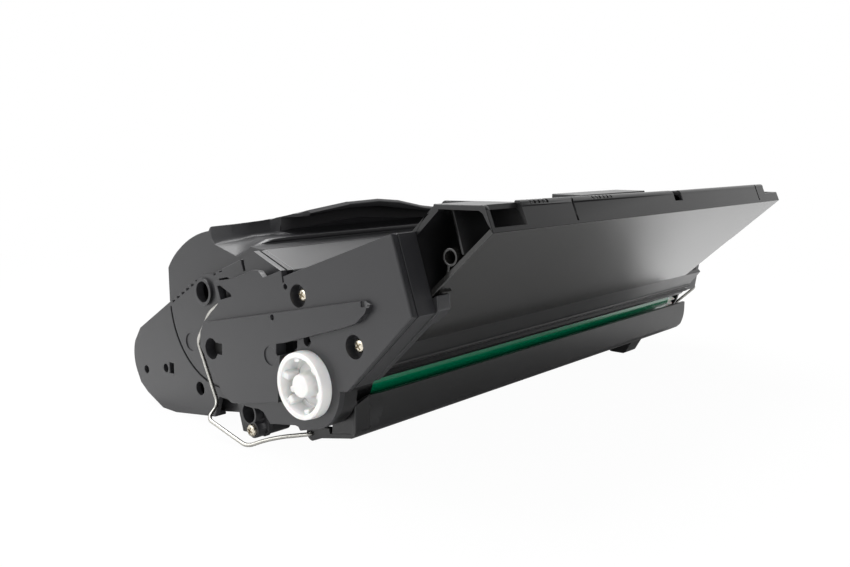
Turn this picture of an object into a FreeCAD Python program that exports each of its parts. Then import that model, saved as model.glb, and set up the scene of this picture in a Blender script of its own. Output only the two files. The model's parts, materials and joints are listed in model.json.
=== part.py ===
import FreeCAD, Part
import math
import os

from FreeCAD import Vector

os.makedirs("parts", exist_ok=True)

# Toner cartridge: a drum unit with a shuttered drum in front, and a toner hopper with a handle behind it.
# X runs along the drum, with the drive coupling at the near end (-X). Y points to the hopper, Z up.

# Stations along the drum axis, measured from the middle
half_length = 156.5
coupling_stand = 4.5
cap_plate = 2.5
cap_depth = 12.0
cover_rise = 2.5
hopper_inset = 11.5
hopper_plate_wall = 2.5
hopper_skirt = 3.5
cap_face = half_length - coupling_stand
cap_inner = cap_face - cap_plate
cap_seat = cap_face - cap_depth
plate_face = half_length - hopper_inset
plate_inner = plate_face - hopper_plate_wall
hopper_end = plate_inner - hopper_skirt
guide_far_end = cap_seat - 22.4
wall = 2.0

# Running fits and free gaps
shaft_clearance = 0.05
free_gap = 0.3

# Drum
drum_y = -30.0
drum_z = 33.5
drum_radius = 12.0
drum_wall = 1.0
drum_near_inset = 7.0
drum_far_end = cap_seat - 15.0
drum_pin_radius = 3.0
drum_pin_stand = 2.0
drum_pin_tip = 2.6
contact_plate = 0.4
coupling_radius = 12.7
coupling_wall = 2.1
coupling_depth = 7.0
coupling_step = 0.3
hub_radius = 4.4
bearing_wall = 2.4

# Gear train at the far end, all on one module
gear_module = 1.0
gear_width = 8.0
gear_start = drum_far_end + 1.0
drum_teeth = 22
developer_teeth = 20
idler_teeth = 35
agitator_teeth = 44
tooth_backlash = 0.16

# Rollers
charge_radius = 6.0
charge_shaft_radius = 2.5
charge_angle = 70.8
developer_angle = -12.0
sleeve_wall = 0.8
core_shaft_radius = 2.5
journal_radius = 4.0
roller_half = drum_far_end

# Agitator
agitator_y = 56.9
agitator_z = 35.6
agitator_shaft_radius = 3.0
film_reach = 24.0

# Shutter and its wires
shutter_half = cap_seat + 2.0
lug_y = -20.0
lug_z = 9.6
lug_radius = 3.2
lug_width = 2.5
wire_radius = 0.85
wire_bend = 1.6
swing_y = 30.5
swing_z = 56.0

# Screws
screw_radius = 1.3
screw_head_radius = 2.6
screw_head = 1.7
screw_length = 9.0
recess_depth = 3.5


def edges(x, path, closed=True):
    """Edges of a (y, z) outline at one station; a step of four numbers is an arc: its middle, then its end."""
    found = []
    here = path[0]
    for step in path[1:] + (path[:1] if closed else []):
        start = Vector(x, here[0], here[1])
        end = Vector(x, step[-2], step[-1])
        if len(step) == 4:
            found.append(Part.Arc(start, Vector(x, step[0], step[1]), end).toShape())
        else:
            found.append(Part.makeLine(start, end))
        here = step[-2:]
    return found


def prism(path, x0, x1):
    """Solid with a closed (y, z) outline between two stations."""
    face = Part.Face(Part.Wire(edges(x0, path)))
    return face.extrude(Vector(x1 - x0, 0, 0))


def sheet(path, thickness, x0, x1):
    """Wall that follows an open (y, z) path; the sign of its thickness picks the side."""
    face = Part.Wire(edges(x0, path, False)).makeOffset2D(thickness, 2, True, True)
    return face.extrude(Vector(x1 - x0, 0, 0))


def across(path, y0, y1):
    """Solid with a closed (x, z) outline between two places in y."""
    solid = prism(path, 0.0, y1 - y0)
    solid.rotate(Vector(0, 0, 0), Vector(0, 0, 1), -90)
    solid.translate(Vector(0, y1, 0))
    return solid


def ruled(stations):
    """Solid through a (y, z) outline at each station, with straight lines between them."""
    return Part.makeLoft([Part.Wire(edges(x, path)) for x, path in stations], True, True)


def rod(centre, radius, x0, x1):
    return Part.makeCylinder(radius, x1 - x0, Vector(x0, centre[0], centre[1]), Vector(1, 0, 0))


def tube(centre, outer, inner, x0, x1):
    return rod(centre, outer, x0, x1).cut(rod(centre, inner, x0, x1))


def block(x0, x1, y0, y1, z0, z1):
    return Part.makeBox(x1 - x0, y1 - y0, z1 - z0, Vector(x0, y0, z0))


def mirrored(shape):
    return shape.mirror(Vector(0, 0, 0), Vector(1, 0, 0))


def joined(shapes):
    whole = shapes[0]
    for other in shapes[1:]:
        whole = whole.fuse(other)
    return whole.removeSplitter()


def without(shape, cutters):
    for cutter in cutters:
        shape = shape.cut(cutter)
    return shape


def on_circle(centre, radius, degrees):
    turn = math.radians(degrees)
    return (centre[0] + radius * math.cos(turn), centre[1] + radius * math.sin(turn))


def apart(a, b):
    return math.hypot(b[0] - a[0], b[1] - a[1])


def save(node, shape):
    shape.exportStep("parts/" + node + ".step")


def bent_rod(points, bend, radius):
    """Round wire along straight runs, with one tangent arc at each inner point."""
    points = [Vector(*p) for p in points]
    pieces = []
    here = points[0]
    for before, corner, after in zip(points, points[1:], points[2:]):
        towards = (before - corner).normalize()
        onwards = (after - corner).normalize()
        half = towards.getAngle(onwards) / 2
        back = bend / math.tan(half)
        start = corner + towards * back
        centre = corner + (towards + onwards).normalize() * (bend / math.sin(half))
        turn_axis = towards.cross(onwards)
        section = Part.Face(Part.Wire(Part.makeCircle(radius, start, towards)))
        turned = 180 - math.degrees(2 * half)
        pieces.append(Part.makeCylinder(radius, (start - here).Length, here, start - here))
        pieces.append(section.revolve(centre, turn_axis * -1, turned))
        here = corner + onwards * back
    pieces.append(Part.makeCylinder(radius, (points[-1] - here).Length, here, points[-1] - here))
    return joined(pieces)


coil_steps = 10


def coil(start, axis, radius, wire, pitch, turns):
    """Open coil spring that starts at one point and rises along an axis: a six-sided wire in short runs."""
    path = []
    for step in range(round(turns * coil_steps) + 1):
        turn = 2 * math.pi * step / coil_steps
        path.append(Vector(radius * math.cos(turn), radius * math.sin(turn), pitch * step / coil_steps))
    side = Vector(math.cos(0.05), math.sin(0.05), 0)
    section = [path[0] + side * wire * math.cos(k * math.pi / 3) + Vector(0, 0, wire * math.sin(k * math.pi / 3))
               for k in range(7)]
    spring = Part.Wire(Part.makePolygon(path)).makePipeShell([Part.makePolygon(section)], True, False, 1)
    spring.Placement = FreeCAD.Placement(Vector(*start), FreeCAD.Rotation(Vector(0, 0, 1), axis))
    return spring


# Rolling centres, worked out from the drum and the gears
drum_axis = (drum_y, drum_z)
developer_pitch = gear_module * (drum_teeth + developer_teeth) / 2
developer_axis = on_circle(drum_axis, developer_pitch, developer_angle)
sleeve_radius = developer_pitch - drum_radius - free_gap
charge_axis = on_circle(drum_axis, drum_radius + charge_radius + free_gap, charge_angle)
agitator_axis = (agitator_y, agitator_z)


def idler_centre():
    """Meeting point, above the line of centres, of the two gear distances from developer and agitator."""
    first = gear_module * (developer_teeth + idler_teeth) / 2
    second = gear_module * (idler_teeth + agitator_teeth) / 2
    span = apart(developer_axis, agitator_axis)
    along = (first ** 2 - second ** 2 + span ** 2) / (2 * span)
    rise = math.sqrt(max(first ** 2 - along ** 2, 0.0))
    uy = (agitator_axis[0] - developer_axis[0]) / span
    uz = (agitator_axis[1] - developer_axis[1]) / span
    return (developer_axis[0] + along * uy - rise * uz, developer_axis[1] + along * uz + rise * uy)


idler_axis = idler_centre()


def meshed_phase(centre, teeth, phase, next_centre, next_teeth):
    """Angle of a tooth on the next gear, in radians, that meshes with a gear whose first tooth is at phase."""
    towards = math.atan2(next_centre[1] - centre[1], next_centre[0] - centre[0])
    return towards + math.pi - math.pi / next_teeth + teeth / next_teeth * (towards - phase)


def gear(centre, teeth, phase, bore):
    """Spur gear with straight-flanked teeth: root, pitch line and tip on each side."""
    pitch = gear_module * teeth / 2
    half_pitch = math.pi / (2 * teeth) - tooth_backlash / (2 * pitch)
    rings = ((pitch - 1.2 * gear_module, 1.62), (pitch, 1.0), (pitch + 0.88 * gear_module, 0.42))
    outline = []
    for tooth in range(teeth):
        middle = phase + 2 * math.pi * tooth / teeth
        for radius, share in rings:
            outline.append(on_circle(centre, radius, math.degrees(middle - share * half_pitch)))
        for radius, share in reversed(rings):
            outline.append(on_circle(centre, radius, math.degrees(middle + share * half_pitch)))
    return prism(outline, gear_start, gear_start + gear_width).cut(rod(centre, bore, gear_start, half_length))


# Outlines of the drum unit's end caps
cap_front_top = (-73.3, 92.6)
cap_front_low = (-82.8, 65.4)
cap_bevel_end = (-52.2, 35.4)
cap_slope = 0.348
arc_radius = 17.3
screw_high = (-25.2, 66.4)
screw_low = (-55.1, 51.5)
screw_recess_radius = 4.35
hinge_hole = (27.4, 38.7)
hinge_hole_radius = 4.4
hinge_pin_radius = 3.0


def cap_top(y, drop=0.0):
    """Height of the drum unit's sloping top edge, less a drop."""
    return cap_front_top[1] - cap_slope * (y - cap_front_top[0]) - drop


cap_rear = [
    (-16.0, 75.2), (-4.9, 71.4), (-2.0, 73.7), (1.8, 73.7), (15.4, 68.9), (27.5, 66.8), (27.9, 66.0),
    (25.2, 57.9), (36.5, 48.4), (37.0, 39.5), (24.8, 24.0), (19.5, 17.2),
]
near_cap_outline = [cap_front_top, (-17.0, cap_top(-17.0)), (-17.6, 70.8), (-16.6, 70.5)] + cap_rear + [
    (4.6, 17.2), (0.7, 17.7), (-2.4, 17.1), (-6.7, 13.0), (-9.8, 13.6), (-21.9, 15.7), (-23.7, 15.5),
    (-24.8, 14.2), on_circle(drum_axis, arc_radius, 260),
    on_circle(drum_axis, arc_radius, 220) + on_circle(drum_axis, arc_radius, 179),
    (-50.6, 34.2), cap_bevel_end, cap_front_low,
]
cover_outline = [
    (32.8, 49.1), (-11.8, 58.5), (-61.9, 69.1), (-64.3, 67.7), (-62.8, 64.4), (-58.3, 60.6), (-53.3, 58.7),
    (-18.5, 47.8), (-17.3, 46.2), (-15.2, 23.9), (14.5, 17.8), (19.2, 19.6), (23.8, 24.3), (35.7, 38.6),
    (35.3, 44.7),
]


def recessed_boss(centre, station):
    """Boss behind the near cap plate, down to the frame's end wall."""
    return rod(centre, screw_recess_radius + 1.45, -station, -cap_seat)


def near_end_cap():
    plate = prism(near_cap_outline, -cap_face, -cap_inner)
    plate = plate.cut(rod((-30.0, 50.0), 2.0, -cap_face, -cap_inner))
    cover = prism(cover_outline, -cap_face - cover_rise, -cap_face)
    rim = sheet([cap_bevel_end, cap_front_low, cap_front_top, (-17.2, cap_top(-17.2))], wall,
                -cap_inner, -cap_seat)
    bosses = [recessed_boss(centre, cap_inner) for centre in (screw_high, screw_low)]
    bearing = rod(drum_axis, coupling_radius + bearing_wall, -cap_inner, -shutter_half - 1.0)
    cap = joined([plate, cover, rim, bearing] + bosses)
    window = [(-14.6, 42.3), (-14.8, 47.0), (-24.3, 49.2), (-24.1, 44.9)]
    top_hole = [(25.6, 64.9), (23.5, 65.3), (16.6, 62.6), (16.2, 61.6), (23.6, 59.4)]
    outer = -cap_face - cover_rise
    return without(cap, [
        rod(drum_axis, coupling_radius + coupling_step + shaft_clearance, outer, 0),
        rod(hinge_hole, hinge_hole_radius, outer, -cap_inner),
        block(outer, outer + 2.2, 20.4, 24.4, 37.4, 41.4),
        rod((-11.1, 41.8), 3.7, outer, outer + 0.5),
        rod((-12.9, 57.1), 1.1, outer, outer + 1.0),
        rod((-18.1, 69.2), 1.05, -cap_face, -cap_inner),
        prism(window, outer, -cap_inner),
        prism(top_hole, -cap_face, -cap_inner),
        rod(screw_high, screw_recess_radius, -cap_face, -cap_face + recess_depth),
        rod(screw_low, screw_recess_radius, -cap_face, -cap_face + recess_depth),
        rod(screw_high, screw_radius + shaft_clearance, -cap_face, -cap_seat),
        rod(screw_low, screw_radius + shaft_clearance, -cap_face, -cap_seat),
    ])


far_cap_outline = [(-58.0, cap_top(-58.0)), (-17.0, cap_top(-17.0))] + cap_rear[1:-1] + [
    (14.0, 18.0), (0.7, 19.0), (-8.0, 24.0), on_circle(drum_axis, 7.3, -12),
    on_circle(drum_axis, 7.3, -90) + on_circle(drum_axis, 7.3, 192),
    (-38.5, 35.4), (-46.3, 35.4), (-48.5, 50.0), (-49.0, 72.0),
]
far_screw_low = (-40.0, 63.0)


def far_end_cap():
    plate = prism(far_cap_outline, cap_inner, cap_face)
    rim = sheet([(-46.3, 35.4), (-48.5, 50.0), (-49.0, 72.0), (-58.0, cap_top(-58.0)), (-17.2, cap_top(-17.2))],
                wall, cap_seat, cap_inner)
    bosses = [mirrored(recessed_boss(centre, cap_inner)) for centre in (screw_high, far_screw_low)]
    cap = joined([plate, rim, rod(drum_axis, 6.0, cap_seat, cap_inner)] + bosses)
    cuts = [
        rod(drum_axis, drum_pin_radius + shaft_clearance, cap_seat, cap_face),
        rod(hinge_hole, hinge_hole_radius, cap_inner, cap_face),
    ]
    for centre in (screw_high, far_screw_low):
        cuts.append(rod(centre, screw_recess_radius, cap_face - recess_depth, cap_face))
        cuts.append(rod(centre, screw_radius + shaft_clearance, cap_seat, cap_face))
    return without(cap, cuts)


# Front guide panel, hood and drum unit frame
guide_top = (-106.3, 93.86)
guide_end = (-55.6, 48.1)
guide_wall = 2.0
guide_run = apart(guide_top, guide_end)


def beside(a, b, along, lift):
    """Point beside the line from a to b: so far along it, and so far to its left."""
    run = apart(a, b)
    uy = (b[0] - a[0]) / run
    uz = (b[1] - a[1]) / run
    return (a[0] + uy * along - uz * lift, a[1] + uz * along + uy * lift)


def on_guide(along, lift=0.0):
    """Point beside the guide's lower face: so far down from its top edge, so far lifted off it."""
    return beside(guide_top, guide_end, along, lift)


hood_back = 0.349
hood_rear_top = (-71.4, 92.1)
ring_axis = (-88.1, 84.8)
ring_outer = 3.15
ring_bore = 2.2
screw_boss_radius = 2.4


def hood_rear(z, forward=0.0):
    """The hood's rear wall leans back; its outer face, or a plane parallel to it further forward."""
    return (hood_rear_top[0] - forward + hood_back * (z - hood_rear_top[1]), z)


def hood_foot(forward=0.0):
    """Where that plane meets the guide's upper face."""
    high = on_guide(0, guide_wall)
    low = on_guide(guide_run, guide_wall)
    slope = (low[1] - high[1]) / (low[0] - high[0])
    base = hood_rear_top[0] - forward + hood_back * (high[1] - slope * high[0] - hood_rear_top[1])
    y = base / (1 - hood_back * slope)
    return (y, high[1] + slope * (y - high[0]))


def bin_front(drop):
    """Top front corner of the waste bin: just behind the hood's rear wall, below the cap's top edge."""
    base = cap_top(0.0, drop) - hood_rear_top[1]
    y = (hood_rear_top[0] + free_gap + hood_back * base) / (1 + hood_back * cap_slope)
    return (y, cap_top(y, drop))


def front_panel():
    panel = prism([on_guide(0), on_guide(guide_run), on_guide(guide_run, guide_wall), on_guide(0, guide_wall)],
                  -cap_seat, guide_far_end)
    step = block(guide_far_end - 0.8, guide_far_end, -90.0, -50.0, 40.0, 70.9)
    tab = prism([on_guide(31.6), on_guide(38.2), on_guide(38.2, -0.9), on_guide(31.6, -0.9)],
                -cap_seat + 3.0, -cap_seat + 8.0)
    ring = rod(ring_axis, ring_outer, -cap_seat + 0.6, -cap_seat + 20.0)
    foot = on_guide(24.3, guide_wall - 0.2)
    web = prism([(foot[0] - 0.6, foot[1]), (foot[0] + 0.6, foot[1]), (ring_axis[0] + 0.6, ring_axis[1]),
                 (ring_axis[0] - 0.6, ring_axis[1])], -cap_seat + 0.6, -cap_seat + 20.0)
    bore = rod(ring_axis, ring_bore, -cap_seat, -cap_seat + 21.0)
    boss = rod(screw_low, screw_boss_radius + shaft_clearance, -cap_seat, -cap_seat + screw_length)
    return without(joined([panel, tab, ring, web]), [step, bore, boss])


hood_inner = [
    hood_rear(92.1, wall), (-77.9, 98.6), (-83.4, 100.6), (-100.6, 100.8),
    (-102.1, 99.9), on_guide(0, guide_wall), hood_foot(wall),
]


hood_front = [guide_top, (-103.3, 101.1), (-102.7, 102.3, -101.0, 102.6)]
hood_back_edge = [(-66.0, 93.0), hood_rear(93.0), hood_foot(), on_guide(0, guide_wall)]
pocket_end = -cap_seat + 22.0
lid_start = -cap_seat + 20.0
finger_grooves = [lid_start + 5.0 + 2.6 * k for k in range(5)] + [lid_start + 46.0 + 2.8 * k for k in range(6)]


def hood_cover():
    """Level over the pocket at the near end, then a lid that slopes back behind a thick front edge."""
    over_pocket = hood_front + [(-68.5, 102.0), (-66.6, 101.3, -66.0, 99.6)] + hood_back_edge
    sloping = hood_front + [(-99.0, 102.5), (-68.0, 97.8), (-66.6, 97.1, -66.0, 95.4)] + hood_back_edge
    under_lid = [hood_inner[0], (-77.9, 97.2), (-83.4, 98.2), (-100.6, 100.4)] + hood_inner[4:]
    hood = prism(over_pocket, -cap_seat, pocket_end + 1.5).fuse(prism(sloping, pocket_end + 1.5, guide_far_end))
    pocket = prism(hood_inner, -cap_seat, pocket_end)
    hollow = prism(under_lid, pocket_end + 1.5, guide_far_end - wall)
    divider = prism([(-89.2, 101.0), (-88.0, 101.0), (-93.0, 85.9), (-94.2, 86.0)], -cap_seat + 0.8, pocket_end)
    front_edge = ruled([
        (lid_start, [(-103.2, 101.2), (-102.9, 102.8), (-102.0, 103.4), (-100.2, 103.4), (-99.6, 102.0)]),
        (-5.5, [(-103.2, 101.2), (-102.9, 102.2), (-102.0, 102.8), (-100.2, 102.8), (-99.6, 102.0)]),
    ])
    rear_stop = block(-45.5, 9.5, -82.0, -66.8, 97.5, 101.8)
    hood = joined([without(hood, [pocket, hollow]), divider, front_edge, rear_stop])
    grooves = [block(x, x + 1.0, -104.0, -98.0, 102.0, 104.0) for x in finger_grooves]
    return without(hood, grooves + [
        block(-cap_seat + wall, lid_start, -107.0, -101.0, 95.5, 104.0),
        block(-5.5, 1.5, -107.0, -98.0, 98.5, 104.0),
        block(guide_far_end - 17.0, guide_far_end, -107.0, -60.0, 98.2, 104.0),
        block(-88.6, -87.4, -107.0, -102.4, 95.0, 104.0),
        block(guide_far_end - 28.2, guide_far_end - 27.0, -107.0, -102.4, 95.0, 104.0),
    ])


lid_seat = 2.2
lid_drop = 0.6
bin_rear = -19.5
bin_floor = 58.0
blade_seat_top = (-41.0, bin_floor)
blade_seat_low = (-45.3, 50.4)


def bin_outline(drop):
    """Closed outline of the waste bin up to the sloping top, less a drop."""
    return [
        on_guide(guide_run, guide_wall), hood_foot(-free_gap), bin_front(drop),
        (bin_rear, cap_top(bin_rear, drop)), (bin_rear, bin_floor), blade_seat_top, blade_seat_low,
    ]


tail_outline = [
    (-46.5, 48.0), (-49.0, 50.0), (-49.0, 75.0), (-44.0, cap_top(-44.0, lid_drop)),
    (bin_rear, cap_top(bin_rear, lid_drop)), (bin_rear, bin_floor), (-41.0, bin_floor),
]


def drum_frame():
    bin_far = guide_far_end - wall
    bin_near = -cap_seat + wall
    trough = prism(bin_outline(lid_seat), bin_near, bin_far)
    hollow = prism([
        (bin_front(0.0)[0] + wall, bin_front(0.0)[1]), (-76.0, 72.1), (-54.0, 52.3), (-46.9, 52.4), (-42.1, 60.0),
        (bin_rear - wall, 60.0), (bin_rear - wall, cap_top(bin_rear - wall)),
    ], bin_near, bin_far)
    lip = prism([guide_end, on_guide(guide_run, guide_wall), (-50.0, 50.2), (-52.4, 46.9), (-42.7, 34.5),
                 (-43.1, 33.5), (-44.0, 33.3)], -cap_seat, cap_seat - wall)
    ribs = [prism([(y, z), (y - 0.9, z - 0.2), (y - 0.3, z + 1.2), (y + 0.6, z + 1.0)], -cap_seat, cap_seat - wall)
            for y, z in ((-46.6, 35.9), (-48.9, 38.8))]
    ends = [prism(bin_outline(lid_drop), -cap_seat, bin_near), prism(bin_outline(lid_drop), bin_far, guide_far_end)]
    tail = prism(tail_outline, guide_far_end, cap_seat).cut(block(
        guide_far_end + wall, cap_seat - wall, -47.0, -21.5, 60.0, 70.0))
    far_wall = prism([(-46.5, 35.6), (-46.5, 48.0), (-49.0, 50.0), (-49.0, 60.0), (bin_rear, 60.0),
                      (-18.5, drum_z), (-41.5, drum_z)], cap_seat - wall, cap_seat)
    disc = rod(drum_axis, drum_radius - 0.4, cap_seat - wall, cap_seat)
    guides = []
    for x0 in (-roller_half - 6.5, roller_half - 6.5):
        guides.append(block(x0, x0 + 5.0, charge_axis[0] + 4.1, charge_axis[0] + 5.5, 46.5, bin_floor + 1.0))
        guides.append(block(x0, x0 + 5.0, charge_axis[0] - 5.6, charge_axis[0] - 4.1, 48.5, bin_floor + 1.0))
    bosses = [rod(screw_high, 3.3, -cap_seat + wall, -cap_seat + screw_length),
              rod(screw_low, screw_boss_radius, -cap_seat, -cap_seat + screw_length)]
    frame = joined([trough.cut(hollow), lip] + ribs + ends + [tail, far_wall, disc] + guides + bosses)
    bores = [rod(centre, screw_radius + shaft_clearance, -cap_seat, -cap_seat + screw_length)
             for centre in (screw_high, screw_low)]
    bores += [rod(centre, screw_radius + shaft_clearance, cap_seat - screw_length, cap_seat)
              for centre in (screw_high, far_screw_low)]
    bores.append(rod(drum_axis, drum_pin_radius + shaft_clearance, cap_seat - wall, cap_seat))
    return without(frame, bores)


def waste_bin_cover():
    return prism([
        bin_front(lid_seat), bin_front(lid_drop),
        (bin_rear, cap_top(bin_rear, lid_drop)), (bin_rear, cap_top(bin_rear, lid_seat)),
    ], -cap_seat + wall, guide_far_end - wall)


def screw(centre, seat, out):
    """Cross-head screw along X; its head stands on a seat and points outwards, to -1 or +1."""
    head = Part.makeCylinder(screw_head_radius, screw_head, Vector(seat, centre[0], centre[1]), Vector(out, 0, 0))
    shank = Part.makeCylinder(screw_radius, screw_length + cap_depth - recess_depth - 0.5,
                              Vector(seat, centre[0], centre[1]), Vector(-out, 0, 0))
    solid = head.fuse(shank)
    outer = seat + out * screw_head
    for half in ((1.7, 0.4), (0.4, 1.7)):
        solid = solid.cut(block(min(outer, outer - out), max(outer, outer - out), centre[0] - half[0],
                                centre[0] + half[0], centre[1] - half[1], centre[1] + half[1]))
    return solid


# Shutter and wires
shutter_wall = 2.0
shutter_front = -44.8
shutter_top = 28.0
recess_from_end = 7.5
recess_reach = 8.2
recess_z = 22.5
finger_depth = 1.1


def finger_recess():
    """Half of a shallow dish in the front wall, with its straight edge towards the near end."""
    x = -shutter_half + recess_from_end
    dish = (recess_reach ** 2 + finger_depth ** 2) / (2 * finger_depth)
    ball = Part.makeSphere(dish, Vector(x, shutter_front + finger_depth - dish, recess_z))
    return ball.common(block(x, x + 2 * recess_reach, shutter_front - 1.0, shutter_front + shutter_wall,
                             recess_z - 2 * recess_reach, shutter_top + 1.0))


def shutter():
    path = [(shutter_front, shutter_top), (shutter_front, 15.6), (-44.1, 13.4, -42.0, 12.4),
            (lug_y - 0.4, lug_z - 1.9)]
    cover = sheet(path, -shutter_wall, -shutter_half, shutter_half)
    ear = prism([(-31.0, 11.0), (-30.2, 14.0), (lug_y, lug_z + lug_radius),
                 (lug_y + lug_radius, lug_z, lug_y, lug_z - lug_radius)], -shutter_half, -shutter_half + lug_width)
    foot = prism([(-37.0, 12.0), (-31.5, 2.4), (-30.2, 1.6), (-22.0, 1.6), (lug_y + 0.4, 3.2),
                  (lug_y + 0.4, lug_z - 1.0)], shutter_half - 50.0, shutter_half - 37.0)
    pin_bores = rod((lug_y, lug_z), wire_radius + shaft_clearance, -half_length, half_length)
    near_corner = across([(-shutter_half - 1.0, 25.3), (-shutter_half + 6.6, shutter_top), (-shutter_half + 6.6, 29.0),
                          (-shutter_half - 1.0, 29.0)], shutter_front - 1.0, shutter_front + 4.0)
    far_round = across([(shutter_half - 12.0, 9.0), (shutter_half - 12.0, 13.0),
                        (shutter_half - 3.4, 15.9, shutter_half, 23.5), (shutter_half + 1.0, 23.5),
                        (shutter_half + 1.0, 9.0)], shutter_front - 1.0, -36.0)
    return without(joined([cover, ear, mirrored(ear), foot]), [pin_bores, near_corner, far_round, finger_recess()])


lug_side = shutter_half + 1.5
near_wire_plane = -plate_face - 3.0


def near_shutter_wire():
    return bent_rod([
        (-plate_inner + 1.5, swing_y, swing_z), (near_wire_plane, swing_y, swing_z),
        (near_wire_plane, 46.9, 38.2), (near_wire_plane, 33.6, 12.2), (near_wire_plane - 6.2, 32.6, 7.4),
        (near_wire_plane - 5.3, 7.1, 0.9), (near_wire_plane - 0.8, 0.2, 4.0), (near_wire_plane + 2.2, -6.6, 6.1),
        (-lug_side, lug_y, lug_z),
        (-shutter_half + lug_width + 0.4, lug_y, lug_z),
    ], wire_bend, wire_radius)


def far_shutter_wire():
    outside = half_length - wire_radius
    return bent_rod([
        (plate_inner - 1.5, swing_y, swing_z), (outside, swing_y, swing_z), (outside, -45.5, 36.0),
        (lug_side, lug_y, lug_z), (shutter_half - lug_width - 0.4, lug_y, lug_z),
    ], wire_bend, wire_radius)


save("near_end_cap", near_end_cap())
save("far_end_cap", far_end_cap())
save("front_panel", front_panel())
save("hood_cover", hood_cover())
save("drum_frame", drum_frame())
save("waste_bin_cover", waste_bin_cover())
save("shutter", shutter())
save("near_shutter_wire", near_shutter_wire())
save("far_shutter_wire", far_shutter_wire())
near_seat = -cap_face + recess_depth
save("near_cap_screws", Part.makeCompound([screw(c, near_seat, -1) for c in (screw_high, screw_low)]))
save("far_cap_screws", Part.makeCompound([screw(c, -near_seat, 1) for c in (screw_high, far_screw_low)]))


# Drum, its coupling, far flange and pin
drum_near = -cap_seat + drum_near_inset
plug_radius = drum_radius - drum_wall - shaft_clearance
plug_length = 5.0


def drum_coupling():
    face = -half_length
    shoulder = -shutter_half - 1.0
    inner = coupling_radius - coupling_wall
    rim_end = -cap_face - cover_rise
    body = joined([rod(drum_axis, coupling_radius, face, rim_end),
                   rod(drum_axis, coupling_radius + coupling_step, rim_end, shoulder),
                   rod(drum_axis, drum_radius, shoulder, drum_near),
                   rod(drum_axis, plug_radius, drum_near, drum_near + plug_length)])
    body = body.cut(tube(drum_axis, inner, hub_radius, face, face + coupling_depth))
    body = body.cut(rod(drum_axis, 1.7, face, face + 3.0))
    lobes = [rod(on_circle(drum_axis, inner - 1.2, angle), 2.2, face + 1.2, face + coupling_depth)
             for angle in (75, 195, 315)]
    nib = rod(on_circle(drum_axis, hub_radius, 10), 1.5, face + 0.4, face + coupling_depth)
    return joined([body, nib] + lobes)


def drum_gear_flange():
    hub_end = cap_seat - wall - free_gap
    plug = rod(drum_axis, plug_radius, drum_far_end - plug_length, drum_far_end)
    shoulder = rod(drum_axis, drum_radius, drum_far_end, gear_start - free_gap)
    hub = rod(drum_axis, 6.0, drum_far_end, hub_end)
    bore = rod(drum_axis, drum_pin_radius + shaft_clearance, drum_far_end - plug_length, hub_end)
    return joined([plug, shoulder, hub, gear(drum_axis, drum_teeth, 0.0, 5.0)]).cut(bore)


# Charge roller with its sprung bearings
charge_near = -roller_half - 0.5
charge_far = roller_half - 7.5
charge_stations = (-roller_half - 6.5, roller_half - 6.5)
bearing_top = 55.2
spring_wire = 0.3
spring_pitch = 0.8


def charge_bearings():
    y, z = charge_axis
    solids = [block(x0, x0 + 5.0, y - 4.0, y + 4.0, z - 3.5, bearing_top) for x0 in charge_stations]
    bore = rod(charge_axis, charge_shaft_radius + shaft_clearance, -half_length, half_length)
    return Part.makeCompound([solid.cut(bore) for solid in solids])


def charge_springs():
    turns = (bin_floor - bearing_top - 2 * spring_wire) / spring_pitch
    return Part.makeCompound([
        coil((x0 + 2.5, charge_axis[0], bearing_top + spring_wire), Vector(0, 0, 1), 2.0, spring_wire,
             spring_pitch, turns) for x0 in charge_stations])


# Blades of the drum unit
bracket_near = -roller_half - 4.0
bracket_far = roller_half - 13.0


def cleaning_blade_bracket():
    corners = ((0.4, 0.02), (8.3, 0.02), (8.3, 1.02), (0.4, 1.02))
    return prism([beside(blade_seat_top, blade_seat_low, *corner) for corner in corners], bracket_near, bracket_far)


def cleaning_blade():
    touch = drum_radius + free_gap
    return prism([beside(blade_seat_top, blade_seat_low, 8.3, 1.04),
                  beside(blade_seat_top, blade_seat_low, 5.8, 1.04), on_circle(drum_axis, touch + 0.2, 121.0),
                  on_circle(drum_axis, touch, 127.5)], bracket_near + 2.0, bracket_far - 2.0)


def recovery_sheet():
    return prism([(-48.62, 42.12), (-44.32, 36.62), (-44.12, 36.78), (-48.42, 42.28)],
                 bracket_near + 2.0, bracket_far - 2.0)


# Developer roller
sleeve_near = -roller_half
sleeve_far = roller_half - 13.0
trough_floor = 16.3


def developer_sleeve():
    inner = sleeve_radius - sleeve_wall
    bore = core_shaft_radius + shaft_clearance
    parts = [
        tube(developer_axis, sleeve_radius, inner, sleeve_near, sleeve_far),
        rod(developer_axis, sleeve_radius, sleeve_near, sleeve_near + wall),
        rod(developer_axis, sleeve_radius, sleeve_far - wall, sleeve_far),
        rod(developer_axis, journal_radius, sleeve_near - 6.0, sleeve_near),
        rod(developer_axis, journal_radius, sleeve_far, gear_start + gear_width),
    ]
    return joined(parts).cut(rod(developer_axis, bore, -cap_seat, sleeve_far + 5.0))


def magnet_core():
    core = rod(developer_axis, sleeve_radius - sleeve_wall - free_gap, sleeve_near + wall + free_gap,
               sleeve_far - wall - free_gap)
    shaft = rod(developer_axis, core_shaft_radius, -plate_inner - 1.5, sleeve_far + 4.0)
    return core.fuse(shaft)


def developer_bearings():
    y, z = developer_axis
    bore = rod(developer_axis, journal_radius + shaft_clearance, -half_length, half_length)
    near = block(sleeve_near - 6.0, sleeve_near - 2.0, y - 5.2, y + 5.2, trough_floor, z + 5.2)
    far = block(sleeve_far + 2.0, sleeve_far + 6.0, y - 5.2, y + 5.2, trough_floor, z + 5.2)
    return Part.makeCompound([near.cut(bore), far.cut(bore)])


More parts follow.
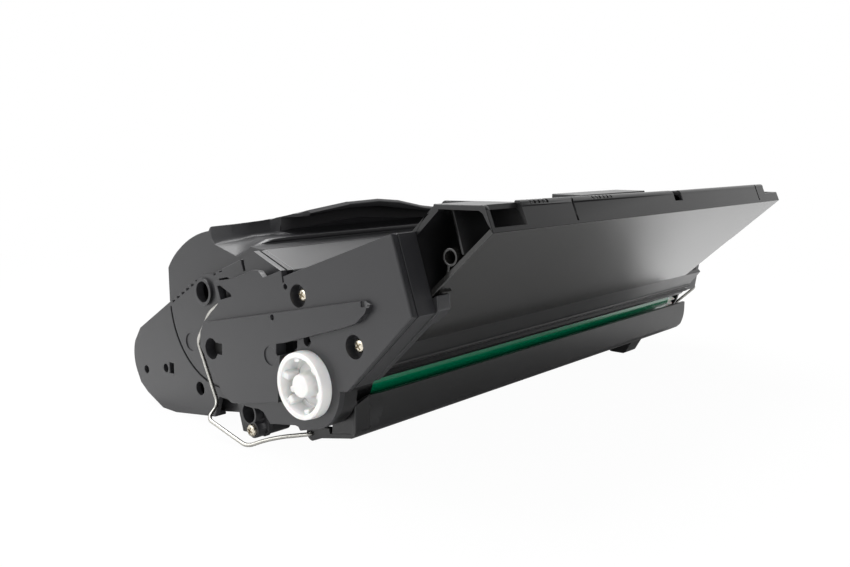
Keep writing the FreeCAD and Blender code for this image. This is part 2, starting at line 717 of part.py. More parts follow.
def doctor_blade_bracket():
    return block(sleeve_near + 3.0, sleeve_far - 3.0, -6.0, -1.5, 42.4, 43.95)


def doctor_blade():
    reach = sleeve_radius + free_gap - 0.05
    return prism([(-6.0, 42.4), (-4.8, 42.4), on_circle(developer_axis, reach, 67.0),
                  on_circle(developer_axis, reach, 74.0)], sleeve_near + 4.0, sleeve_far - 4.0)


# Hopper: lower shell, top with its handle, end plates
partition = (hopper_end - 17.0, hopper_end - 15.0)
seam_z = 50.0
front_seam_z = 44.0
body_path = [
    (-17.0, 18.5), (-17.0, trough_floor - wall), (3.0, trough_floor - wall), (3.0, 18.6), (17.5, 18.6), (21.5, 8.6),
    (40.7, 5.3), (49.1, 4.2), (71.7, 1.0), (82.6, 1.0), (95.0, 6.3), (104.0, 14.0, 105.3, 21.9),
    (103.6, 29.4, 98.9, 35.3), (82.5, 45.0), (82.5, seam_z),
]
seam_step = [(5.0, seam_z), (5.0, front_seam_z), (-4.5, front_seam_z)]
top_path = [
    (82.5, seam_z), (82.5, 66.3), (78.2, 71.3, 72.8, 75.7), (65.2, 80.3, 49.5, 85.3), (34.0, 85.3), (23.5, 82.8),
    (20.5, 80.6), (9.7, 79.9), (-7.3, 73.4), (-8.3, 71.5), (-8.3, 60.0), (-4.5, front_seam_z),
]
tube_boss = (10.8, 13.0)
lower_boss = (8.1, 6.6)
lower_boss_radius = 3.5
lower_boss_face = -cap_inner + 0.2


def hopper_body():
    shell = sheet(body_path, -wall, -hopper_end, hopper_end)
    near_wall = prism(body_path + seam_step, -hopper_end, -hopper_end + wall)
    far_wall = prism(body_path + seam_step, partition[0], partition[1])
    baffle = block(-hopper_end, partition[0], 3.0, 5.0, trough_floor, 24.0)
    post = rod(idler_axis, drum_pin_radius, partition[0], hopper_end - 1.5)
    rooms = [
        rod(idler_axis, gear_module * idler_teeth / 2 + 1.8, partition[1], hopper_end),
        rod(agitator_axis, gear_module * agitator_teeth / 2 + 1.8, partition[1], hopper_end),
        rod(developer_axis, journal_radius + free_gap, partition[0], partition[1]),
        rod(developer_axis, core_shaft_radius + shaft_clearance, -hopper_end, -hopper_end + wall),
        rod(agitator_axis, agitator_shaft_radius + shaft_clearance, -hopper_end, hopper_end),
    ]
    return without(joined([shell, near_wall, far_wall, baffle]), rooms).fuse(post)


# Along the hopper as shares of its half length: top, underside and back of the handle; top of the shelf below it
handle_stations = [
    (-1.0, 90.3, 88.3, 22.8), (-0.878, 91.8, 89.2, 28.3), (-0.748, 93.9, 91.3, 33.5), (-0.576, 96.7, 93.7, 33.5),
    (-0.432, 97.3, 93.7, 33.5), (-0.331, 96.1, 92.0, 33.5), (-0.201, 92.6, 89.9, 33.5), (-0.072, 90.4, 88.2, 33.5),
    (1.0, 90.4, 88.2, 33.5),
]
shelf_stations = [
    (-0.745, 84.5), (-0.676, 85.5), (-0.54, 87.2), (-0.446, 87.9), (-0.345, 87.1), (-0.237, 85.7), (-0.122, 85.4),
    (0.993, 85.4),
]
recess_edge = (22.3, 82.2)
recess_edge_radius = 1.4
handle_front = 21.5


def handle():
    """Overhanging lip along a long arch; the finger recess behind it runs out towards the near end."""
    sections = []
    for share, top, under, back in handle_stations:
        sections.append((share * hopper_end, [
            (back, 84.0 - 0.22 * (33.5 - back)), (back, under + 0.5), (handle_front + 0.5, under),
            (handle_front, top - 1.3), (handle_front + 1.3, top), (47.9, 87.3), (49.4, 85.2), (49.4, 84.0),
        ]))
    return ruled(sections)


def recess_shelf():
    """Wavy step at the back of the finger recess, under the handle."""
    return ruled([(share * hopper_end, [(34.0, 83.6), (34.0, top), (33.1, top), (31.2, 84.0), (31.2, 83.6)])
                  for share, top in shelf_stations])


def hopper_top():
    shell = sheet(top_path, -wall, -hopper_end, hopper_end)
    end_outline = top_path + [(5.0, front_seam_z), (5.0, seam_z)]
    near_wall = prism(end_outline, -hopper_end, -hopper_end + wall)
    far_wall = prism(end_outline, partition[0], partition[1])
    stop = [(22.8, 89.5), (47.0, 86.5), (46.0, 82.0), (24.0, 81.5), (20.5, 80.6)]
    stops = [prism(stop, -hopper_end, -hopper_end + 3.0), prism(stop, hopper_end - 3.0, hopper_end)]
    bar = rod(recess_edge, recess_edge_radius, -hopper_end, hopper_end - 1.0)
    top = joined([shell, near_wall, far_wall, handle(), recess_shelf(), bar] + stops)
    groove = block(-hopper_end, hopper_end, 11.2, 11.9, 79.3, 80.5)
    return without(top, [groove, rod(plug_centre, plug_size + shaft_clearance, partition[0], partition[1])])


plug_centre = (25.0, 63.0)
plug_size = 7.5


def fill_plug():
    return rod(plug_centre, plug_size, partition[0] - 0.5, partition[1]).fuse(
        rod(plug_centre, plug_size + 1.3, partition[1], partition[1] + 1.2))


plate_upper = [
    (-7.3, 73.4), (9.7, 79.9), (18.9, 75.8), (38.9, 68.0), (47.1, 67.0), (72.4, 52.35), (99.6, 36.3),
    (104.7, 29.5), (106.3, 21.9, 104.4, 14.6), (101.3, 9.2), (95.4, 5.3), (82.6, 0.0), (71.7, 0.0), (49.1, 3.2),
    (40.7, 4.3),
]
plate_lower = [(37.0, 14.0), (24.0, 14.0), (20.5, 2.4), (6.0, 3.2), (3.5, 6.0), (3.5, 12.0), (0.0, 15.0),
               (-12.0, 17.0), (-16.5, 20.0), (-14.0, 46.0), (-9.0, 60.0)]


def hopper_plate():
    """End plate of the hopper as it stands at the near end, without the bosses that only that end has."""
    plate = prism(plate_upper + plate_lower, -plate_face, -plate_inner)
    rim = sheet(plate_upper, wall, -plate_inner, -hopper_end)
    drum_room = rod(drum_axis, coupling_radius + bearing_wall + free_gap, -plate_face, -hopper_end)
    return without(joined([plate, rim]), [
        drum_room,
        rod((swing_y, swing_z), wire_radius + shaft_clearance, -plate_face, -plate_inner),
        rod(hinge_hole, hinge_pin_radius + shaft_clearance, -plate_face, -plate_inner),
    ])


def near_hopper_plate():
    high_boss = rod((44.6, 59.7), 6.0, -plate_face - 1.4, -plate_inner)
    guide = rod(tube_boss, 5.0, lower_boss_face, -plate_inner)
    boss = rod(lower_boss, lower_boss_radius, lower_boss_face, -hopper_end + 7.0)
    plate = joined([hopper_plate(), high_boss, guide, boss])
    ring = tube((36.5, 54.5), 36.2, 35.2, -plate_face, -plate_face + 0.8)
    return without(plate, [
        rod((44.6, 59.7), 4.5, -plate_face - 1.4, -plate_inner),
        rod(tube_boss, 3.9, lower_boss_face, -plate_inner),
        rod(lower_boss, screw_radius + shaft_clearance, lower_boss_face, -hopper_end + 7.0),
        rod((95.4, 16.5), 1.9, -plate_face, -plate_inner),
        rod((78.4, 20.0), 2.0, -plate_face, -plate_inner),
        block(-plate_face, -plate_inner, 71.9, 75.4, 18.2, 23.2),
        rod((51.2, 15.2), 3.0, -plate_face, -plate_inner),
        rod(agitator_axis, 4.0, -plate_face, -plate_face + 0.5),
        rod(developer_axis, core_shaft_radius + shaft_clearance, -plate_face, -plate_inner),
        ring.common(block(-plate_face, -plate_inner, 36.5, 73.0, 17.0, 50.0)),
    ])


def agitator_film():
    y, z = agitator_axis
    return block(sleeve_near - 5.0, sleeve_far + 3.0, y + agitator_shaft_radius, y + film_reach, z - 0.15, z + 0.15)


def ground_contact():
    plate = prism([(-35.0, 28.6), (-25.0, 28.6), (-25.0, 39.0), (-20.0, 52.0), (-30.0, 52.0), (-35.0, 39.0)],
                  cap_face, cap_face + contact_plate)
    return plate.cut(rod(drum_axis, drum_pin_radius + shaft_clearance, cap_face, cap_face + contact_plate))


developer_phase = meshed_phase(drum_axis, drum_teeth, 0.0, developer_axis, developer_teeth)
idler_phase = meshed_phase(developer_axis, developer_teeth, developer_phase, idler_axis, idler_teeth)
agitator_phase = meshed_phase(idler_axis, idler_teeth, idler_phase, agitator_axis, agitator_teeth)

save("drum_tube", tube(drum_axis, drum_radius, drum_radius - drum_wall, drum_near, drum_far_end))
save("drum_coupling", drum_coupling())
save("drum_gear_flange", drum_gear_flange())
save("drum_pin", rod(drum_axis, drum_pin_radius, drum_far_end - 3.0, cap_face + contact_plate).fuse(
    rod(drum_axis, drum_pin_tip, cap_face + contact_plate, cap_face + drum_pin_stand)))
save("charge_roller", tube(charge_axis, charge_radius, charge_shaft_radius + 0.02, charge_near, charge_far))
save("charge_roller_shaft", rod(charge_axis, charge_shaft_radius, charge_near - 7.0, charge_far + 7.0))
save("charge_bearings", charge_bearings())
save("charge_springs", charge_springs())
save("cleaning_blade_bracket", cleaning_blade_bracket())
save("cleaning_blade", cleaning_blade())
save("recovery_sheet", recovery_sheet())
save("developer_sleeve", developer_sleeve())
save("magnet_core", magnet_core())
save("developer_bearings", developer_bearings())
save("doctor_blade_bracket", doctor_blade_bracket())
save("doctor_blade", doctor_blade())
save("developer_gear", gear(developer_axis, developer_teeth, developer_phase, journal_radius + 0.02))
save("idler_gear", gear(idler_axis, idler_teeth, idler_phase, drum_pin_radius + shaft_clearance))
save("agitator_gear", gear(agitator_axis, agitator_teeth, agitator_phase, agitator_shaft_radius + 0.02))
save("agitator_shaft", rod(agitator_axis, agitator_shaft_radius, -plate_inner + 1.5, hopper_end - 2.0))
save("agitator_film", agitator_film())
save("hopper_body", hopper_body())
save("hopper_top", hopper_top())
save("fill_plug", fill_plug())
save("near_hopper_plate", near_hopper_plate())
save("far_hopper_plate", mirrored(hopper_plate()))
save("ground_contact", ground_contact())
save("unit_pins", Part.makeCompound([
    rod(hinge_hole, hinge_pin_radius, -cap_inner - 1.5, -plate_inner + 1.5),
    rod(hinge_hole, hinge_pin_radius, plate_inner - 1.5, cap_inner + 1.5),
]))
save("boss_screw", screw(lower_boss, lower_boss_face, -1))
save("shutter_spring", coil((plate_face + 0.4, swing_y, swing_z), Vector(1, 0, 0), 1.6, 0.35, 1.1, 3.0))
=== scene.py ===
# %% [markdown]
# # A toner cartridge, dressed in Blender
#
# The packed model gives every rigid piece at its real size. This file keeps those sizes and adds the looks:
# moulded plastics with rounded edges, the green drum, the white drive coupling, bright wires and screws,
# and the small moulded details that a CAD solid leaves out.
# All lengths are in metres. X runs along the drum, Y points from the drum to the hopper, Z is up.

# %% Load the packed frame
import json
import math

import bpy
from mathutils import Matrix, Vector

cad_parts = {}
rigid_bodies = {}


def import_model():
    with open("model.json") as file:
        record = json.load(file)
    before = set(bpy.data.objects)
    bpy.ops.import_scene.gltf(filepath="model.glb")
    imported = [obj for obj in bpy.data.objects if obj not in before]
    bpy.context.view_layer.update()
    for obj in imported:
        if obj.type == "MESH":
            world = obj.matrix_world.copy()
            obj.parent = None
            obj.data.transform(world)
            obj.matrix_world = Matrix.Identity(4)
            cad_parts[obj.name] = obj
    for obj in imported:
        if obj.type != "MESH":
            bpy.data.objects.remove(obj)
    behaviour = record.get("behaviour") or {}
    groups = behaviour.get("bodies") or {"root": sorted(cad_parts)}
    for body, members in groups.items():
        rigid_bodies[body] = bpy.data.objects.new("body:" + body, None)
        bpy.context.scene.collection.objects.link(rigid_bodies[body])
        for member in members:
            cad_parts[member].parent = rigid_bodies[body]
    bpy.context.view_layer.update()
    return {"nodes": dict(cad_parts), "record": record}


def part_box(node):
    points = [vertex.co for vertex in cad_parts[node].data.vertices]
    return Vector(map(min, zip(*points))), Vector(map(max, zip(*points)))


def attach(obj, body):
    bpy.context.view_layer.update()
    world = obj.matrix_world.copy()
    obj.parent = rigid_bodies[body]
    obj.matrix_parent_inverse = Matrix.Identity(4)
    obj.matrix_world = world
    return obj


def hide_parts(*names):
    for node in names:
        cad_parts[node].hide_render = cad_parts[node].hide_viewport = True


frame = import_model()
nodes = frame["nodes"]
body_of_node = {node: body for body, held in frame["record"]["behaviour"]["bodies"].items() for node in held}
slot_of_node = {part["node"]: part["material_slot"] for part in frame["record"]["subparts"]}
MM = 0.001

# %% [markdown]
# ## The camera
#
# The photograph was taken from the coupling end, a little above the table. The camera's place was worked
# out from the cartridge's own straight edges, so that the model's edges fall on those of the photograph.
# It is given as a place and three directions: to the right, up, and the view itself.

# %% Place the camera
right = Vector((0.6598, -0.7515, 0.0))
up = Vector((0.1140, 0.1001, 0.9884))
view = Vector((0.7428, 0.6521, -0.1518))
place = Vector((-0.355, -0.2665, 0.119))
lens_data = bpy.data.cameras.new("camera")
lens_data.lens = 36.0
lens_data.sensor_width = 36.0
lens_data.clip_start = 0.01
camera = bpy.data.objects.new("camera", lens_data)
bpy.context.scene.collection.objects.link(camera)
camera.matrix_world = Matrix((
    (right.x, up.x, -view.x, place.x),
    (right.y, up.y, -view.y, place.y),
    (right.z, up.z, -view.z, place.z),
    (0.0, 0.0, 0.0, 1.0),
))
bpy.context.scene.camera = camera
print("camera", round((place - Vector((0, 0, 0.05))).length, 3), "m from the cartridge")

# %% [markdown]
# ## Shader maths as plain expressions
#
# A procedural material is a formula over the surface. Written with nodes one by one it is hard to read, so a
# small class wraps a socket: adding or multiplying two of them adds the Math node that does it. One method
# makes any other kind of node, with its settings first and its sockets after.


# %% A small language for material nodes
class Value:
    """A node socket that can stand in an arithmetic expression."""

    def __init__(self, tree, socket):
        self.tree = tree
        self.socket = socket

    def maths(self, operation, first, second):
        return self.tree.node("ShaderNodeMath", {"operation": operation}, {0: first, 1: second})["Value"]

    def __add__(self, other):
        return self.maths("ADD", self, other)

    def __radd__(self, other):
        return self.maths("ADD", other, self)

    def __sub__(self, other):
        return self.maths("SUBTRACT", self, other)

    def __rsub__(self, other):
        return self.maths("SUBTRACT", other, self)

    def __mul__(self, other):
        return self.maths("MULTIPLY", self, other)

    def __rmul__(self, other):
        return self.maths("MULTIPLY", other, self)


class Made:
    """A node whose outputs are read by name or by number."""

    def __init__(self, tree, node):
        self.tree = tree
        self.outputs = node.outputs

    def __getitem__(self, name):
        return Value(self.tree, self.outputs[name])


class Tree:
    """The nodes of a material or of the world."""

    def __init__(self, node_tree):
        self.nodes = node_tree.nodes
        self.links = node_tree.links

    def node(self, kind, settings, sockets):
        node = self.nodes.new(kind)
        for name, value in settings.items():
            setattr(node, name, value)
        for name, value in sockets.items():
            self.plug(value, node.inputs[name])
        return Made(self, node)

    def plug(self, value, socket):
        if isinstance(value, Value):
            self.links.new(value.socket, socket)
        else:
            socket.default_value = value


print("a sum, a difference and a product of sockets can now be written as such")

# %% [markdown]
# ## A finish is a Principled shader with formulas
#
# Every finish here varies in the same few ways: a colour between two near ones, a gloss that wanders a
# little, and a fine bump. So a material under construction is an object with one method for each of them. An
# image could do the same, but noise has no seams and needs no file. It is read in Object coordinates, which
# stay with a piece when it moves.


# %% A material under construction
class Finish(Tree):
    """A material with one Principled shader."""

    def __init__(self, name, **uniform):
        self.material = bpy.data.materials.new(name)
        self.material.use_nodes = True
        super().__init__(self.material.node_tree)
        self.shader = self.nodes["Principled BSDF"]
        for socket, value in uniform.items():
            self.set(socket.replace("_", " "), value)
        self.place = self.node("ShaderNodeTexCoord", {}, {})["Object"]

    def set(self, name, value):
        self.plug(value, self.shader.inputs[name])

    def noise(self, scale, detail=3.0, roughness=0.5):
        return self.node("ShaderNodeTexNoise", {}, {
            "Vector": self.place, "Scale": scale, "Detail": detail, "Roughness": roughness})["Fac"]

    def drawn_noise(self, scales, detail=2.0):
        """Noise that is stretched, with one scale for each axis, as drawing or rubbing leaves it."""
        stretched = self.node("ShaderNodeMapping", {}, {"Vector": self.place, "Scale": scales})["Vector"]
        return self.node("ShaderNodeTexNoise", {}, {
            "Vector": stretched, "Scale": 1.0, "Detail": detail})["Fac"]

    def colour_between(self, factor, first, second):
        first_colour, second_colour, result = 6, 7, 2
        mixed = self.node("ShaderNodeMix", {"data_type": "RGBA"}, {
            "Factor": factor, first_colour: (*first, 1.0), second_colour: (*second, 1.0)})
        self.set("Base Color", mixed[result])

    def bump(self, height, strength, distance):
        self.set("Normal", self.node("ShaderNodeBump", {}, {
            "Height": height, "Strength": strength, "Distance": distance})["Normal"])


finishes = {}
print("a finish has", [name for name in vars(Finish) if not name.startswith("_")])

# %% [markdown]
# ## Moulded plastics
#
# Caps and hopper are filled polystyrene from a spark-eroded mould: a grain of about a quarter of a
# millimetre, a satin gloss that changes a little from place to place, and a charcoal colour that is never
# quite even.
# The hood, frame and shutter are the same plastic, darker. So one function makes both from a few numbers.


# %% Satin moulded plastics
def moulded(name, dark, light, gloss):
    made = Finish(name, Specular_IOR_Level=0.5)
    flow = made.noise(18.0, 4.0, 0.6)
    fine = made.noise(4200.0, 2.0, 0.6)
    made.colour_between(flow, dark, light)
    made.set("Roughness", gloss + 0.10 * (flow - 0.5) + 0.06 * (fine - 0.5))
    made.bump(fine + 0.8 * made.noise(900.0, 2.0), 0.1, 0.00004)
    return made.material


finishes["cap_plastic"] = moulded(
    "satin_charcoal_cap", (0.016, 0.016, 0.0175), (0.021, 0.021, 0.023), 0.36)
finishes["hopper_plastic"] = moulded(
    "satin_charcoal_hopper", (0.017, 0.017, 0.0185), (0.023, 0.023, 0.025), 0.36)
finishes["dark_plastic"] = moulded(
    "satin_black", (0.0055, 0.0055, 0.006), (0.009, 0.009, 0.0095), 0.30)
print("moulded plastics:", sorted(finishes))

# %% [markdown]
# ## The polished guide
#
# Paper slides over the long sloping wall, so its mould is polished. It mirrors the white table at a grazing
# angle. A slow waviness of the moulding bends that reflection, and fine rub marks run the way the paper runs.


# %% Polished guide wall
def polished_guide():
    made = Finish("polished_guide", Specular_IOR_Level=0.6, Coat_Roughness=0.12)
    wave = made.noise(9.0, 2.0, 0.4)
    rub = made.drawn_noise((900.0, 14.0, 14.0))
    made.colour_between(wave, (0.007, 0.0068, 0.0064), (0.012, 0.0115, 0.011))
    made.set("Roughness", 0.20 + 0.08 * (wave - 0.5) + 0.05 * (rub - 0.5))
    made.set("Coat Weight", 0.25)
    made.bump(wave, 0.12, 0.0004)
    return made.material


finishes["guide_plastic"] = polished_guide()
print("guide ready")

# %% [markdown]
# ## Drum, coupling, metals and soft parts
#
# The drum's coating is a smooth deep green lacquer over aluminium. The coupling and the gears are acetal:
# white, slightly waxy. Wires and screws are bright metal with drawing marks along X. Blades are amber
# polyurethane, and the charge roller is black conductive rubber.


# %% Drum coating and acetal
def drum_coating():
    made = Finish("drum_coating", Coat_Roughness=0.05, Specular_IOR_Level=0.5)
    turn = made.drawn_noise((60.0, 4.0, 4.0))
    made.colour_between(turn, (0.0, 0.125, 0.055), (0.0, 0.160, 0.072))
    made.set("Roughness", 0.16 + 0.06 * (turn - 0.5))
    made.set("Coat Weight", 0.6)
    return made.material


def acetal(name, low, high, gloss):
    made = Finish(name, Specular_IOR_Level=0.5, Subsurface_Weight=0.15, Subsurface_Scale=0.002)
    cloud = made.noise(60.0, 3.0)
    made.colour_between(cloud, low, high)
    made.set("Roughness", gloss + 0.08 * (cloud - 0.5))
    made.bump(made.noise(2500.0, 2.0), 0.15, 0.00003)
    return made.material


finishes["drum_coat"] = drum_coating()
finishes["white_plastic"] = acetal("white_acetal", (0.70, 0.70, 0.69), (0.77, 0.77, 0.76), 0.36)
finishes["gear_plastic"] = acetal("natural_acetal", (0.66, 0.65, 0.61), (0.74, 0.73, 0.69), 0.35)
print("drum and acetal ready")


# %% Metals, rubber and film
def metal(name, low, high, gloss, along=(40.0, 1500.0, 1500.0)):
    made = Finish(name, Metallic=1.0)
    marks = made.drawn_noise(along, 3.0)
    made.colour_between(marks, low, high)
    made.set("Roughness", gloss + 0.12 * (marks - 0.5))
    made.bump(marks, 0.15, 0.00002)
    return made.material


def soft(name, low, high, gloss):
    made = Finish(name, Specular_IOR_Level=0.45)
    cloud = made.noise(300.0, 4.0)
    made.colour_between(cloud, low, high)
    made.set("Roughness", gloss + 0.1 * (cloud - 0.5))
    made.bump(cloud, 0.2, 0.00005)
    return made.material


finishes["steel"] = metal("bright_steel", (0.36, 0.355, 0.33), (0.50, 0.49, 0.46), 0.26)
finishes["screw_steel"] = metal("nickelled_steel", (0.55, 0.50, 0.41), (0.70, 0.65, 0.55), 0.26,
                                (900.0, 900.0, 900.0))
finishes["black_oxide"] = metal("black_oxide", (0.02, 0.02, 0.02), (0.04, 0.04, 0.04), 0.45)
finishes["sleeve_metal"] = metal("blasted_aluminium", (0.20, 0.20, 0.21), (0.28, 0.28, 0.29), 0.55,
                                 (1800.0, 1800.0, 1800.0))
finishes["blade_rubber"] = soft("amber_polyurethane", (0.30, 0.17, 0.07), (0.38, 0.23, 0.10), 0.4)
finishes["roller_rubber"] = soft("conductive_rubber", (0.012, 0.012, 0.012), (0.02, 0.02, 0.02), 0.5)
finishes["film"] = soft("polyester_film", (0.42, 0.42, 0.40), (0.52, 0.52, 0.50), 0.2)
print(len(finishes), "finishes")

# %% [markdown]
# ## Rounded edges
#
# Nothing moulded has a knife edge, and the thin bright line along each rounded edge is what makes plastic
# look real. Modifiers could do it, but a bevel in edit mode lets the script choose the edges: every outer
# edge that turns by more than thirty degrees. Inner corners stay crisp, as they are in the mould. Blender's
# operators work on what is selected, so each tool here first selects one object and nothing else.


# %% Edges chosen in code and beveled
import bmesh


def only(obj):
    for other in bpy.context.view_layer.objects:
        other.select_set(False)
    if obj is not None:
        bpy.context.view_layer.objects.active = obj
        obj.select_set(True)


def outer_edge(turn=30.0):
    """A test for edges that stick out and turn by more than an angle in degrees."""
    return lambda edge: edge.is_convex and edge.calc_face_angle(0.0) > math.radians(turn)


def select_edges(obj, wanted):
    """In edit mode, selects the edges that a test accepts, and returns how many."""
    bpy.ops.object.mode_set(mode="EDIT")
    bpy.ops.mesh.select_all(action="DESELECT")
    bpy.ops.mesh.select_mode(type="EDGE")
    cage = bmesh.from_edit_mesh(obj.data)
    chosen = [edge for edge in cage.edges if len(edge.link_faces) == 2 and wanted(edge)]
    for edge in chosen:
        edge.select_set(True)
    bmesh.update_edit_mesh(obj.data)
    return len(chosen)


def bevel_edges(obj, wanted, width, segments=2):
    only(obj)
    if select_edges(obj, wanted):
        bpy.ops.mesh.bevel(offset=width, segments=segments, affect="EDGES", clamp_overlap=False, profile=0.5)
    bpy.ops.object.mode_set(mode="OBJECT")


print("outer edges turn by more than 30 degrees")

# %% [markdown]
# ## A bevel that gives way
#
# Where two features lie closer together than a bevel is wide, the flat face between them folds over itself
# and shows as a black line. A folded face is easy to find: some of its triangles look the other way. So the
# bevel is tried, and where it folded, the short edges nearby stay sharp in the next try, and then, if they
# must, the long ones too.


# %% Folded faces, and a bevel without them
SPECK = 1e-8
NEARBY = 1.2 * MM
SHORT = 4.0 * MM
ANY_LENGTH = 1.0


def folded_spots(obj):
    """Corners of the faces that a bevel has folded over themselves."""
    mesh = obj.data
    mesh.calc_loop_triangles()
    spots = {}
    for part in mesh.loop_triangles:
        if part.area > SPECK and part.normal.dot(mesh.polygons[part.polygon_index].normal) < -0.1:
            for index in part.vertices:
                spot = mesh.vertices[index].co.copy()
                spots[tuple(round(value, 4) for value in spot)] = spot
    return list(spots.values())


def bevel_that_fits(obj, wanted, width):
    """Bevels the wanted edges that have room, and returns how many spots stay sharp."""
    avoided = []
    for longest in [SHORT] * 4 + [ANY_LENGTH] * 5:
        def has_room(edge):
            return wanted(edge) and not (edge.calc_length() < longest and any(
                (corner.co - spot).length < NEARBY for corner in edge.verts for spot in avoided))

        before = obj.data.copy()
        bevel_edges(obj, has_room, width)
        spots = folded_spots(obj)
        if not spots:
            break
        avoided += spots
        obj.data = before
    return len(avoided)


print("a spot is avoided within", NEARBY / MM, "mm")

# %% [markdown]
# ## From a CAD node to a clean mesh
#
# Each CAD node comes as loose triangles. A copy of it is welded and its flat faces are merged, so that one
# flat face of the plastic is one face of the mesh. After the cuts and bevels, weighted normals keep the big
# faces flat. The copy then takes a finish, rides on the node's body and stands for the node.


# %% Welding, shading and handing over
def apply_all(obj):
    only(obj)
    for modifier in list(obj.modifiers):
        bpy.ops.object.modifier_apply(modifier=modifier.name)


def flat_look(obj, turn=32.0):
    only(obj)
    bpy.ops.object.mode_set(mode="EDIT")
    bpy.ops.mesh.select_all(action="SELECT")
    bpy.ops.mesh.dissolve_degenerate(threshold=0.00001)
    bpy.ops.mesh.normals_make_consistent(inside=False)
    if bmesh.from_edit_mesh(obj.data).calc_volume(signed=True) < 0.0:
        bpy.ops.mesh.flip_normals()
    bpy.ops.object.mode_set(mode="OBJECT")
    bpy.ops.object.shade_smooth_by_angle(angle=math.radians(turn))
    normals = obj.modifiers.new("flat faces", "WEIGHTED_NORMAL")
    normals.keep_sharp = True
    normals.weight = 60
    apply_all(obj)


def tidy_flats(obj):
    """Merges doubles and joins faces that lie in one plane."""
    only(obj)
    bpy.ops.object.mode_set(mode="EDIT")
    bpy.ops.mesh.select_all(action="SELECT")
    bpy.ops.mesh.remove_doubles(threshold=0.000004)
    bpy.ops.mesh.dissolve_limited(angle_limit=math.radians(0.5))
    bpy.ops.mesh.normals_make_consistent(inside=False)
    bpy.ops.object.mode_set(mode="OBJECT")


def welded(node):
    """A copy of a node as one clean mesh."""
    obj = bpy.data.objects.new(node + "_body", nodes[node].data.copy())
    bpy.context.scene.collection.objects.link(obj)
    tidy_flats(obj)
    return obj


def add_piece(obj, slot, body, *stood_for):
    obj.data.materials.clear()
    obj.data.materials.append(finishes[slot])
    if stood_for:
        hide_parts(*stood_for)
    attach(obj, body)
    return obj


print("the near cap's node has", len(nodes["near_end_cap"].data.polygons), "triangles")

# %% [markdown]
# ## Shapes made from given numbers
#
# A turned part starts as a flat disc, which is extruded and resized from station to station, as on a lathe.
# A flat part starts as a ring of corners that are put in place and pulled along X. Cuts are made with such
# shapes, too. Every length in these calls is in millimetres, and an outline gives (y, z) corners.
# The drum's axis, about which most of it is built, is the middle of the drum's box.

# %% Turned and flat shapes
drum_low, drum_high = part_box("drum_tube")
DRUM = tuple(round((drum_low[k] + drum_high[k]) / 2 / MM, 2) for k in (1, 2))


def round_about(centre, radius, angles):
    """Corners on a circle, at angles in degrees from +Y towards +Z."""
    return [(centre[0] + radius * math.cos(math.radians(a)), centre[1] + radius * math.sin(math.radians(a)))
            for a in angles]


def finish_mesh(name):
    obj = bpy.context.object
    bpy.ops.mesh.select_all(action="SELECT")
    bpy.ops.mesh.normals_make_consistent(inside=False)
    bpy.ops.object.mode_set(mode="OBJECT")
    obj.name = name
    obj.data.name = name
    return obj


def turned(name, profile, centre, steps=48):
    """A turned solid about an axis along X; the profile gives (x, radius) from one end to the other."""
    only(None)
    x, radius = profile[0]
    bpy.ops.mesh.primitive_circle_add(
        vertices=steps, radius=radius * MM, fill_type="NGON", rotation=(0.0, math.radians(90.0), 0.0),
        location=(x * MM, centre[0] * MM, centre[1] * MM))
    bpy.ops.object.transform_apply(location=True, rotation=True, scale=True)
    bpy.ops.object.mode_set(mode="EDIT")
    bpy.ops.mesh.select_all(action="SELECT")
    for next_x, next_radius in profile[1:]:
        bpy.ops.mesh.extrude_region_move(TRANSFORM_OT_translate={"value": ((next_x - x) * MM, 0.0, 0.0)})
        share = next_radius / radius
        bpy.ops.transform.resize(value=(1.0, share, share),
                                 center_override=(next_x * MM, centre[0] * MM, centre[1] * MM))
        x, radius = next_x, next_radius
    return finish_mesh(name)


def flat_face(outline, x):
    """One face with the corners of an outline, in edit mode."""
    only(None)
    bpy.ops.mesh.primitive_circle_add(vertices=len(outline), radius=10.0 * MM, fill_type="NGON")
    for corner, (y, z) in zip(bpy.context.object.data.vertices, outline):
        corner.co = (x * MM, y * MM, z * MM)
    bpy.ops.object.mode_set(mode="EDIT")
    bpy.ops.mesh.select_all(action="SELECT")


def flat_piece(name, outline, x0, x1):
    flat_face(outline, x0)
    bpy.ops.mesh.extrude_region_move(TRANSFORM_OT_translate={"value": ((x1 - x0) * MM, 0.0, 0.0)})
    return finish_mesh(name)


def box_piece(name, low, high):
    return flat_piece(name, [(low[1], low[2]), (high[1], low[2]), (high[1], high[2]), (low[1], high[2])],
                      low[0], high[0])


def lofted(name, sections):
    """A solid through several sections (x, outline) with as many corners each."""
    last_x, corners = sections[0]
    flat_face(corners, last_x)
    for x, outline in sections[1:]:
        bpy.ops.mesh.extrude_region_move(TRANSFORM_OT_translate={"value": ((x - last_x) * MM, 0.0, 0.0)})
        cage = bmesh.from_edit_mesh(bpy.context.object.data)
        for vertex in [v for v in cage.verts if v.select]:
            k = min(range(len(corners)), key=lambda k: math.hypot(
                vertex.co.y / MM - corners[k][0], vertex.co.z / MM - corners[k][1]))
            vertex.co.y = outline[k][0] * MM
            vertex.co.z = outline[k][1] * MM
        bmesh.update_edit_mesh(bpy.context.object.data)
        last_x, corners = x, outline
    bpy.ops.mesh.select_all(action="SELECT")
    bpy.ops.mesh.quads_convert_to_tris()
    return finish_mesh(name)


def carve(obj, tools, operation="DIFFERENCE"):
    for tool in tools:
        change = obj.modifiers.new("carve", "BOOLEAN")
        change.operation = operation
        change.object = tool
        apply_all(obj)
        bpy.data.objects.remove(tool)


def joined(obj, others):
    only(obj)
    for other in others:
        other.select_set(True)
    bpy.ops.object.join()
    return obj


print("shapes are made round the drum's axis at y, z", DRUM)

